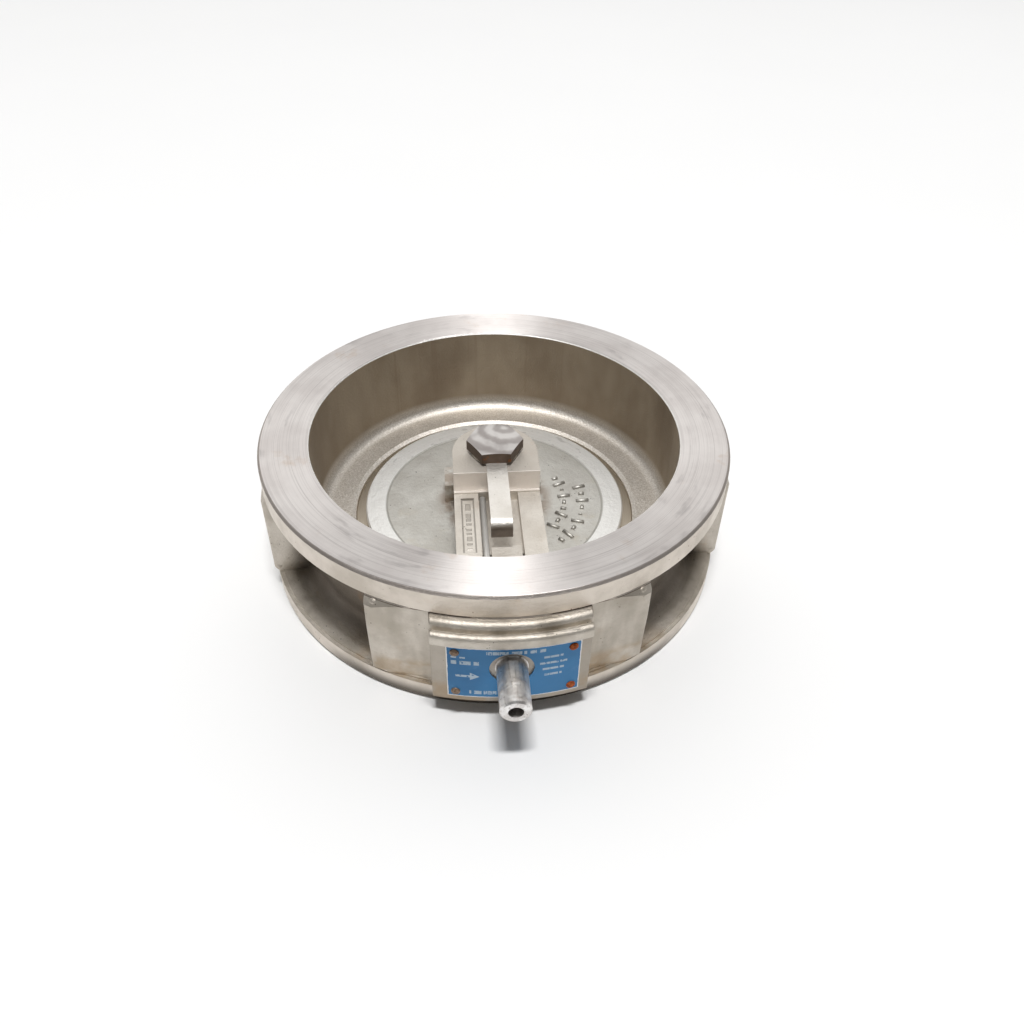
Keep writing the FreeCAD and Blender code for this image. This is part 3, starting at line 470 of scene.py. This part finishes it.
def plate_finish():
    """Blue foil with a flow arrow and worn, broken bars for print; its edges are bare metal."""
    r = Recipe("plate_blue")
    low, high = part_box("nameplate")
    middle = (low.x + high.x) / 2
    half = (high.x - low.x) / 2
    wear = r.noise(420, 4.0, 0.7)
    across = r.math("ABSOLUTE", r.math("SUBTRACT", r.x, middle))
    margin = r.math("MINIMUM", r.math("SUBTRACT", r.z, low.z), r.math("SUBTRACT", high.z, r.z))
    margin = r.math("MINIMUM", margin, r.math("SUBTRACT", half, across))
    margin = r.math("SUBTRACT", margin, r.math("MULTIPLY", wear, 0.0008))
    bare = r.step(margin, 0.00018, 0.00005)
    ink = r.blend(r.step(r.noise(24, 3.0), 0.35, 0.65), (36, 104, 154), (50, 122, 174))
    faded = r.step(r.noise(60, 5.0, 0.65), 0.60, 0.78)
    ink = r.blend(r.math("MULTIPLY", faded, 0.40), ink, (104, 158, 200))

    soft = 0.0002
    gaps = r.step(r.breaks(r.x, 420.0), 0.40, 0.44)
    bars = []
    for left, right, bottom, top in PRINTED_BARS:
        bars.append(r.both(r.band(r.x, left * MM, right * MM, soft),
                           r.band(r.z, bottom * MM, top * MM, soft)))
    printed = bars[0]
    for bar in bars[1:]:
        printed = r.math("MAXIMUM", printed, bar)
    printed = r.both(printed, gaps)
    from_arrow = r.math("ABSOLUTE", r.math("SUBTRACT", r.z, ARROW_Z))
    shaft = r.both(r.band(r.x, ARROW_TAIL, ARROW_NECK, soft), r.step(from_arrow, 0.0009, 0.0007))
    slope = r.math("MULTIPLY", r.math("SUBTRACT", ARROW_TIP, r.x), 0.6)
    head = r.both(r.band(r.x, ARROW_NECK, ARROW_TIP, soft),
                  r.step(r.math("SUBTRACT", slope, from_arrow), 0.0, 0.0002))
    printed = r.math("MAXIMUM", printed, r.math("MAXIMUM", shaft, head))
    worn = r.step(r.noise(500, 3.0, 0.7), 0.64, 0.54)
    ink = r.blend(r.math("MULTIPLY", r.both(printed, worn), 0.75), ink, (196, 208, 214))
    base = r.blend(bare, ink, (214, 213, 210))
    r.bump(r.noise(260, 3.0), 0.00008)
    return r.finish(base, r.fade(bare, 0.40, 0.34), metallic=r.fade(bare, 0.25, 1.0))


def screw_finish(name, light, dark, rough):
    r = Recipe(name)
    spots = r.noise(700, 4.0, 0.7)
    r.bump(spots, 0.00025)
    return r.finish(r.blend(r.step(spots, 0.35, 0.65), light, dark), rough, metallic=0.55)


LEFT_SCREWS = ["plate_screw_1", "plate_screw_3"]
RIGHT_SCREWS = ["plate_screw_2", "plate_screw_4"]
FINISHES = {
    "valve_body": body_finish(),
    "seat_ring": seat_finish(),
    "disc": disc_finish(),
    "hinge_arm": arm_finish(),
    "lock_strap": strap_finish(),
    "disc_bolt": bolt_finish(),
    "hinge_bracket": stem_finish(),
    "stem_nut": nut_finish(),
    "torsion_spring": bright_finish("spring_wire", (233, 232, 229), (206, 204, 200), 0.46, 0.55),
    "rubber": rubber_finish(),
    "gasket": gasket_finish(),
    "nameplate": plate_finish(),
    "tarnished": screw_finish("screw_tarnished", (150, 128, 108), (104, 84, 68), 0.45),
    "rusted": screw_finish("screw_rusted", (196, 104, 48), (134, 66, 34), 0.70),
    "bright": bright_finish("bright_steel", (200, 199, 197), (164, 162, 160), 0.30),
}
SHARED = {
    "bright": ["hinge_pin", "hinge_bush", "pin_clip_left", "pin_clip_right", "thrust_washer",
               "bracket_dowel", "nut_washer"],
    "rubber": ["seat_seal", "stem_seal"],
    "gasket": ["bracket_gasket"],
    "tarnished": LEFT_SCREWS,
    "rusted": RIGHT_SCREWS,
}
finish_of = {node: finish for finish, nodes in SHARED.items() for node in nodes}
for node, thing in frame["nodes"].items():
    material = FINISHES[finish_of.get(node, node)]
    thing.data.materials.clear()
    thing.data.materials.append(material)


# --- pieces built here ---------------------------------------------------------------------------

def tube(points, radius, sides):
    """Vertices and faces of a round tube along points, its section carried along without twist."""
    count = len(points)
    vertices, faces = [], []
    normal = None
    for index, point in enumerate(points):
        before = points[index - 1] if index else point
        after = points[index + 1] if index + 1 < count else point
        along = (after - before).normalized()
        if normal is None:
            normal = along.orthogonal().normalized()
        normal = (normal - along * normal.dot(along)).normalized()
        side = along.cross(normal)
        for step in range(sides):
            turn = 2 * math.pi * step / sides
            vertices.append(point + (normal * math.cos(turn) + side * math.sin(turn)) * radius)
    for index in range(count - 1):
        here, there = index * sides, (index + 1) * sides
        for step in range(sides):
            after = (step + 1) % sides
            faces.append((here + step, here + after, there + after, there + step))
    faces.append(tuple(range(sides - 1, -1, -1)))
    faces.append(tuple(range((count - 1) * sides, count * sides)))
    return vertices, faces


def mesh_piece(name, parts, material):
    """One smooth-shaded object from several (vertices, faces) parts."""
    vertices, faces = [], []
    for part_vertices, part_faces in parts:
        offset = len(vertices)
        vertices += part_vertices
        faces += [tuple(offset + index for index in face) for face in part_faces]
    mesh = bpy.data.meshes.new(name)
    mesh.from_pydata([tuple(vertex) for vertex in vertices], [], faces)
    mesh.shade_smooth()
    mesh.update()
    mesh.materials.append(material)
    thing = bpy.data.objects.new(name, mesh)
    bpy.context.collection.objects.link(thing)
    return thing


def spring_path():
    """The wire's centre line: the fixed leg, three coils round the pin, the leg on the arm."""
    low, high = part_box("torsion_spring")
    wire = 0.00195
    coil = 0.00845
    leg_gap = 0.003
    left, right = low.x + wire, high.x - wire
    steps_per_turn, turns = 48, 3
    crown = HINGE.z + coil
    path = [Vector((left, low.y, crown)), Vector((left, HINGE.y - leg_gap, crown))]
    for step in range(steps_per_turn * turns + 1):
        turn = 2 * math.pi * step / steps_per_turn
        across = left + (right - left) * step / (steps_per_turn * turns)
        path.append(Vector((across, HINGE.y + math.sin(turn) * coil,
                            HINGE.z + math.cos(turn) * coil)))
    path += [Vector((right, HINGE.y + leg_gap, crown)), Vector((right, high.y, crown))]
    return path, wire, left, right


def torsion_spring():
    path, wire, left, right = spring_path()
    spring = mesh_piece("spring_wire_coil", [tube(path, wire, 20)], FINISHES["torsion_spring"])
    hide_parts("torsion_spring")
    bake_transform(spring)


# Raised casting marks in millimetres: a stroke's ends, outwards from the axis and along the row.
LONG = [(-4.0, 0.6), (4.0, -0.6)]
LEANING = [(-4.0, -1.0), (4.0, 1.0)]
SHORT = [(-1.8, 0.0), (1.8, 0.0)]
DASH = [(0.0, -1.5), (0.0, 1.5)]
PIP = [(0.0, -0.35), (0.0, 0.35)]
OUTER_ROW = [LONG, SHORT, LONG, DASH, PIP, LONG, DASH, LEANING, SHORT]
INNER_ROW = [SHORT, LONG, PIP, LONG, DASH, SHORT, LEANING, DASH, LONG]

# Each row's marks, its radius in metres, the first mark's angle in degrees and the spacing.
MARK_ROWS = [(OUTER_ROW, 0.0560, 9, 0.0068), (INNER_ROW, 0.0445, 24, 0.0061)]
MARK_HEIGHT = 0.0288
MARK_RADIUS = 0.00125
MARK_SIDES = 12


def mark_row(strokes, row_radius, first_degrees, spacing):
    """Tubes for one row of marks on an arc round the disc's centre."""
    parts = []
    for place, stroke in enumerate(strokes):
        angle = math.radians(first_degrees) - place * spacing / row_radius
        out = Vector((math.cos(angle), math.sin(angle), 0))
        along = Vector((math.sin(angle), -math.cos(angle), 0))
        points = [out * (row_radius + outwards * MM) + along * (sideways * MM)
                  + Vector((0, 0, MARK_HEIGHT)) for outwards, sideways in stroke]
        parts.append(tube(points, MARK_RADIUS, MARK_SIDES))
    return parts


def casting_marks():
    """Two arcs of plain raised bars and pips on the right of the disc."""
    parts = []
    for row in MARK_ROWS:
        parts += mark_row(*row)
    marks = mesh_piece("disc_casting_marks", parts, FINISHES["disc"])
    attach(marks, "swing")


torsion_spring()
casting_marks()


# --- floor, light and camera ---------------------------------------------------------------------

KEY_PLACE, KEY_TARGET = (0.0, -1.13, 6.4), (0, -0.05, 0.04)
KEY_SIZE, KEY_POWER = (1.68, 0.48), 315

# The sky's strength rises from dim to bright between these values of the view direction's y.
SKY_FROM, SKY_TO = -0.02, 0.75
SKY_DIM, SKY_BRIGHT = 0.15, 1.10


def look(thing, target):
    thing.rotation_euler = (Vector(target) - thing.location).to_track_quat("-Z", "Y").to_euler()


def floor():
    mesh = bpy.data.meshes.new("floor")
    half = 6.0
    clearance = 0.0002
    mesh.from_pydata([(-half, -half, 0), (half, -half, 0), (half, half, 0), (-half, half, 0)], [],
                     [(0, 1, 2, 3)])
    thing = bpy.data.objects.new("floor", mesh)
    thing.location.z = -clearance
    bpy.context.collection.objects.link(thing)
    r = Recipe("floor_white")
    r.finish(r.blend(r.noise(3, 2.0), (246, 246, 246), (243, 243, 243)), 0.6, metallic=0.0)
    mesh.materials.append(r.material)


def softbox(name, place, target, size, power):
    data = bpy.data.lights.new(name, "AREA")
    data.shape = "RECTANGLE"
    data.size, data.size_y = size
    data.energy = power
    thing = bpy.data.objects.new(name, data)
    thing.location = place
    bpy.context.collection.objects.link(thing)
    look(thing, target)


def sky():
    """A pale studio: dim in front and overhead, brighter towards the back."""
    world = bpy.data.worlds.new("studio")
    bpy.context.scene.world = world
    world.use_nodes = True
    tree = world.node_tree
    place = tree.nodes.new("ShaderNodeTexCoord")
    split = tree.nodes.new("ShaderNodeSeparateXYZ")
    ramp = tree.nodes.new("ShaderNodeMapRange")
    ramp.interpolation_type = "SMOOTHSTEP"
    for index, value in enumerate((SKY_FROM, SKY_TO, SKY_DIM, SKY_BRIGHT), start=1):
        ramp.inputs[index].default_value = value
    tree.links.new(place.outputs["Generated"], split.inputs[0])
    tree.links.new(split.outputs["Y"], ramp.inputs[0])
    tree.links.new(ramp.outputs[0], tree.nodes["Background"].inputs["Strength"])
    tree.nodes["Background"].inputs["Color"].default_value = (1.0, 0.995, 0.985, 1)


def camera():
    """Above, in front and a little to the left, turned right towards the valve."""
    data = bpy.data.cameras.new("camera")
    data.lens = 32.1
    data.sensor_width = 36.0
    thing = bpy.data.objects.new("camera", data)
    thing.location = (-0.0279, -0.4440, 0.4093)
    pitch, turn, roll = math.radians(41.35), math.radians(5.05), math.radians(1.21)
    forward = Vector((math.sin(turn) * math.cos(pitch), math.cos(turn) * math.cos(pitch),
                      -math.sin(pitch)))
    aim = forward.to_track_quat("-Z", "Y").to_matrix().to_4x4()
    thing.rotation_euler = (aim @ Matrix.Rotation(roll, 4, "Z")).to_euler()
    bpy.context.collection.objects.link(thing)
    bpy.context.scene.camera = thing


floor()
sky()
camera()
softbox("key_light", KEY_PLACE, KEY_TARGET, KEY_SIZE, KEY_POWER)

bpy.context.scene.view_settings.view_transform = "Standard"
